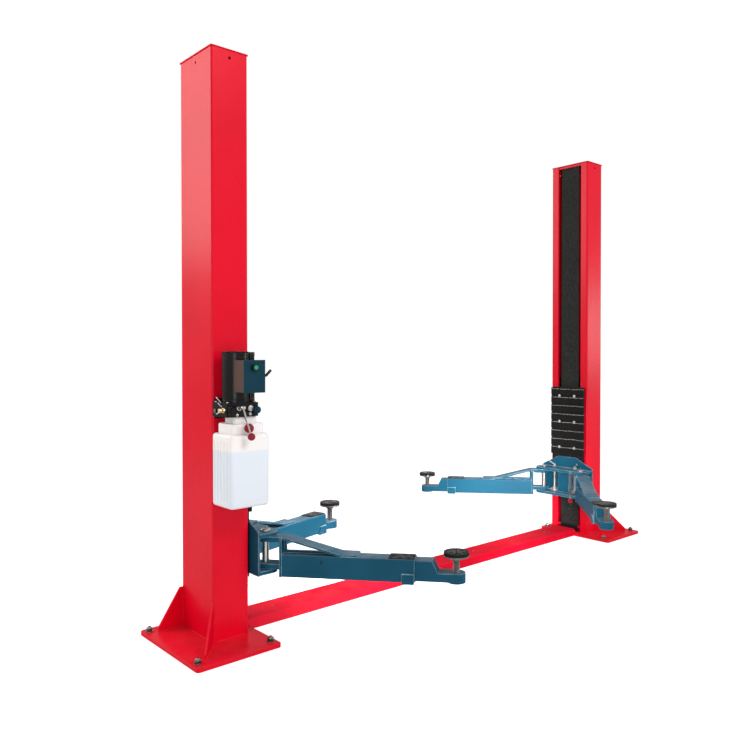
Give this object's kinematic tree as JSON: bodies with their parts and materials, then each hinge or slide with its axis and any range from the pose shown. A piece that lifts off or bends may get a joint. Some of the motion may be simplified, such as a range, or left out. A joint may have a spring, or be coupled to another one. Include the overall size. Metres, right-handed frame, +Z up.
{
  "type": "two post car lift",
  "caption": "Two-post car lift with a floor cover between the posts, sliding carriages, swinging telescopic arms with screw pads, and a hydraulic power unit on one post.",
  "frame": {"origin": "on the floor, midway between the two posts", "axes": "+X from the post with the power unit to the other post, +Y to the back, away from the power unit, +Z up"},
  "size_m": [3.664, 1.8664, 2.824],
  "materials": {
    "red_paint": "gloss",
    "blue_paint": "gloss",
    "black_paint": "satin",
    "black_fabric": "matt",
    "black_rubber": "matt",
    "steel": "satin",
    "tank_plastic": "satin",
    "box_plastic": "matt",
    "cover_paint": "satin",
    "red_plastic": "gloss",
    "green_plastic": "gloss"
  },
  "bodies": {
    "frame": {"post_left": "red_paint", "post_right": "red_paint", "top_cap_left": "red_paint", "top_cap_right": "red_paint", "floor_cover": "red_paint", "curtain_left": "black_fabric", "curtain_right": "black_fabric", "wall_bracket": "black_paint", "motor": "black_paint", "control_box": "box_plastic", "control_cover": "cover_paint", "pump_block": "black_paint", "oil_tank": "tank_plastic", "valve_knob": "red_plastic"},
    "carriage_left": {"carriage_left": "black_paint", "door_guard_left": "black_rubber", "arm_bracket_left": "blue_paint", "pivot_pins_left": "steel"},
    "carriage_right": {"carriage_right": "black_paint", "door_guard_right": "black_rubber", "arm_bracket_right": "blue_paint", "pivot_pins_right": "steel", "release_pull": "steel"},
    "start_button": {"start_button": "green_plastic"},
    "lowering_lever": {"lowering_lever": "steel"},
    "arm_front_left": {"arm_front_left": "blue_paint", "grip_front_left": "black_rubber"},
    "extension_front_left": {"extension_front_left": "blue_paint"},
    "pad_front_left": {"screw_front_left": "steel", "pad_front_left": "black_rubber"},
    "arm_back_left": {"arm_back_left": "blue_paint", "grip_back_left": "black_rubber"},
    "extension_back_left": {"extension_back_left": "blue_paint"},
    "pad_back_left": {"screw_back_left": "steel", "pad_back_left": "black_rubber"},
    "arm_front_right": {"arm_front_right": "blue_paint", "grip_front_right": "black_rubber"},
    "extension_front_right": {"extension_front_right": "blue_paint"},
    "pad_front_right": {"screw_front_right": "steel", "pad_front_right": "black_rubber"},
    "arm_back_right": {"arm_back_right": "blue_paint", "grip_back_right": "black_rubber"},
    "extension_back_right": {"extension_back_right": "blue_paint"},
    "pad_back_right": {"screw_back_right": "steel", "pad_back_right": "black_rubber"}
  },
  "joints": [
    {"name": "lift_left", "type": "slide", "parent": "frame", "child": "carriage_left", "axis": [0, 0, 1], "range_m": [-0.215, 1.45]},
    {"name": "lift_right", "type": "slide", "parent": "frame", "child": "carriage_right", "axis": [0, 0, 1], "range_m": [-0.215, 1.45]},
    {"name": "swing_front_left", "type": "hinge", "parent": "carriage_left", "child": "arm_front_left", "pos_m": [-1.358, -0.165, 0.4], "axis": [0, 0, -1], "range_deg": [-40.5, 39.5]},
    {"name": "reach_front_left", "type": "slide", "parent": "arm_front_left", "child": "extension_front_left", "axis": [0.6361, -0.7716, 0], "range_m": [-0.125, 0.23]},
    {"name": "height_front_left", "type": "slide", "parent": "extension_front_left", "child": "pad_front_left", "axis": [0, 0, 1], "range_m": [-0.02, 0.04]},
    {"name": "swing_back_left", "type": "hinge", "parent": "carriage_left", "child": "arm_back_left", "pos_m": [-1.358, 0.165, 0.4], "axis": [0, 0, 1], "range_deg": [-6, 74]},
    {"name": "reach_back_left", "type": "slide", "parent": "arm_back_left", "child": "extension_back_left", "axis": [0.9613, 0.2756, 0], "range_m": [-0.034, 0.321]},
    {"name": "height_back_left", "type": "slide", "parent": "extension_back_left", "child": "pad_back_left", "axis": [0, 0, 1], "range_m": [-0.034, 0.026]},
    {"name": "swing_front_right", "type": "hinge", "parent": "carriage_right", "child": "arm_front_right", "pos_m": [1.358, -0.165, 0.4], "axis": [0, 0, 1], "range_deg": [-34, 46]},
    {"name": "reach_front_right", "type": "slide", "parent": "arm_front_right", "child": "extension_front_right", "axis": [-0.7193, -0.6947, 0], "range_m": [-0.083, 0.272]},
    {"name": "height_front_right", "type": "slide", "parent": "extension_front_right", "child": "pad_front_right", "axis": [0, 0, 1], "range_m": [-0.034, 0.026]},
    {"name": "swing_back_right", "type": "hinge", "parent": "carriage_right", "child": "arm_back_right", "pos_m": [1.358, 0.165, 0.4], "axis": [0, 0, -1], "range_deg": [-39, 41]},
    {"name": "reach_back_right", "type": "slide", "parent": "arm_back_right", "child": "extension_back_right", "axis": [-0.6561, 0.7547, 0], "range_m": [-0.09, 0.265]},
    {"name": "height_back_right", "type": "slide", "parent": "extension_back_right", "child": "pad_back_right", "axis": [0, 0, 1], "range_m": [-0.02, 0.04]},
    {"name": "lower", "type": "hinge", "parent": "frame", "child": "lowering_lever", "pos_m": [-1.614, -0.392, 1.138], "axis": [0, -1, 0], "range_deg": [0, 30], "stiffness_Nm_per_rad": 1},
    {"name": "start", "type": "slide", "parent": "frame", "child": "start_button", "axis": [0, 1, 0], "range_m": [0, 0.003], "stiffness_N_per_m": 400}
  ],
  "couplings": [
    {"joint": "lift_right", "follows": "lift_left", "ratio": 1}
  ]
}
